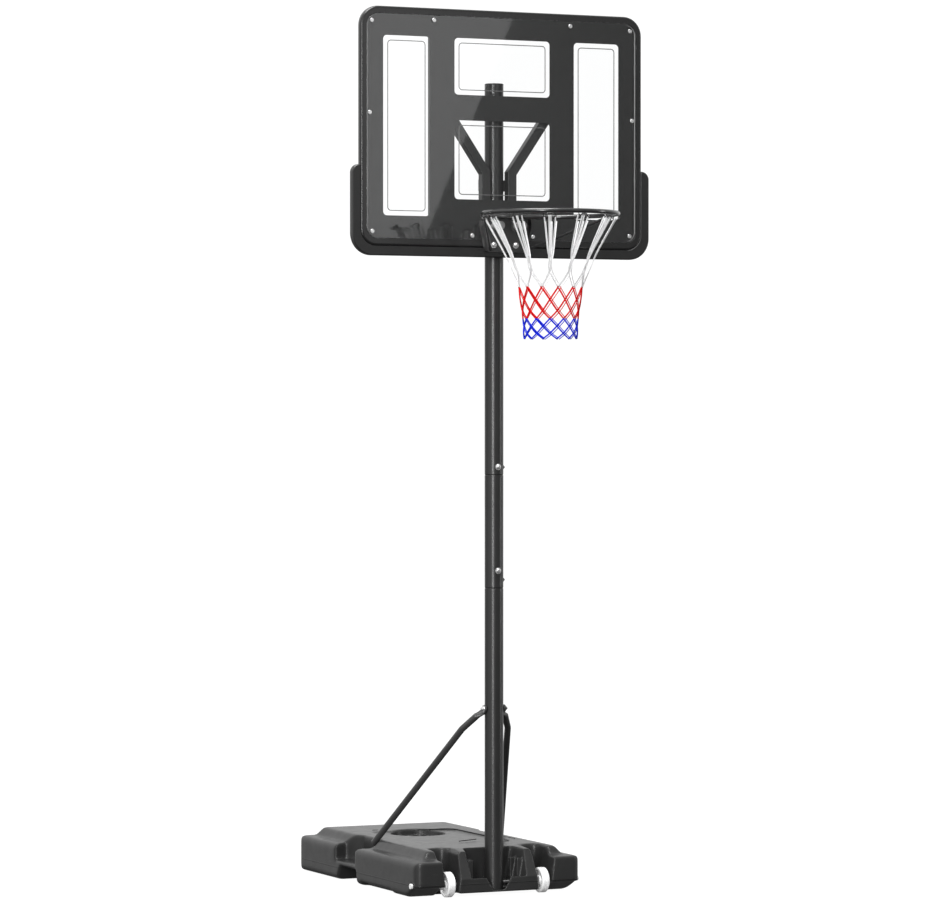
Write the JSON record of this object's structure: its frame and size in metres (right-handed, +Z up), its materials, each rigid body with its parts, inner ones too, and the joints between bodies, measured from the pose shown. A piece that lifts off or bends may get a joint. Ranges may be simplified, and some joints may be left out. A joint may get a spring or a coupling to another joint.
{
  "type": "portable basketball hoop",
  "caption": "Portable basketball hoop on a wheeled ballast tank, with a three-piece pole, bent struts, windowed backboard, sprung rim and funnel net.",
  "frame": {"origin": "on the floor at the centre of the base tank's footprint", "axes": "+Z up, -Y towards the player, +X to the player's right when facing the board"},
  "size_m": [1.174, 1.7732, 3.177],
  "materials": {
    "tank_black": "moulded",
    "cap_black": "moulded",
    "axle_steel": "plain",
    "axle_cap_white": "moulded",
    "wheel_white": "moulded",
    "pole_black": "satin",
    "pole_cap_black": "moulded",
    "screw_steel": "bright",
    "screw_dark": "black",
    "strut_black": "satin",
    "sheet_clear": "clear",
    "print_black": "printed",
    "line_grey": "printed",
    "frame_black": "moulded",
    "guard_black": "moulded",
    "bracket_black": "satin",
    "rim_black": "gloss",
    "spring_steel": "dark",
    "net_cord": "knotted cord, white then red then blue"
  },
  "bodies": {
    "base": {"base_tank": "tank_black", "axle_rod": "axle_steel", "axle_caps": "axle_cap_white", "pole_lower": "pole_black", "pole_middle": "pole_black", "pole_upper": "pole_black", "pole_top_cap": "pole_cap_black", "joint_screws_front": "screw_steel", "joint_screws_side": "screw_dark", "strut_left": "strut_black", "strut_right": "strut_black", "strut_bolt": "screw_steel", "strut_nut": "screw_dark", "strut_foot_bolts": "screw_dark"},
    "left_wheel": {"wheel_left": "wheel_white"},
    "right_wheel": {"wheel_right": "wheel_white"},
    "cap": {"fill_cap": "cap_black"},
    "board": {"board_sheet": "sheet_clear", "board_print": "print_black", "window_lines": "line_grey", "board_frame": "frame_black", "edge_guard": "guard_black", "frame_screws": "screw_steel", "back_post_left": "bracket_black", "back_post_right": "bracket_black", "back_rail_upper": "bracket_black", "back_rail_lower": "bracket_black", "y_arm_left": "bracket_black", "y_arm_right": "bracket_black", "arm_bolts": "screw_steel", "clamp_strap_upper": "bracket_black", "clamp_strap_lower": "bracket_black", "clamp_bolts": "screw_steel", "rim_backplate": "rim_black", "rim_bolts": "screw_steel", "spring_bolts": "screw_dark"},
    "rim": {"rim_bracket": "rim_black", "spring_seats": "screw_dark", "springs": "spring_steel", "rim_braces": "rim_black", "rim_ring": "rim_black", "net_hooks": "rim_black", "net": "net_cord"}
  },
  "joints": [
    {"name": "left_wheel_spin", "type": "hinge", "parent": "base", "child": "left_wheel", "pos_m": [-0.1865, -0.512, 0.046], "axis": [1, 0, 0], "continuous": true},
    {"name": "right_wheel_spin", "type": "hinge", "parent": "base", "child": "right_wheel", "pos_m": [0.1865, -0.512, 0.046], "axis": [1, 0, 0], "continuous": true},
    {"name": "fill_cap_lift", "type": "slide", "parent": "base", "child": "cap", "axis": [0, 0, 1], "range_m": [0, 0.05]},
    {"name": "board_height", "type": "slide", "parent": "base", "child": "board", "axis": [0, 0, 1], "range_m": [-0.3, 0.3]},
    {"name": "rim_tip", "type": "hinge", "parent": "board", "child": "rim", "pos_m": [0, -0.593, 2.338], "axis": [1, 0, 0], "range_deg": [0, 6], "stiffness_Nm_per_rad": 160, "springref_deg": -28.65, "deforming": ["springs"]}
  ]
}
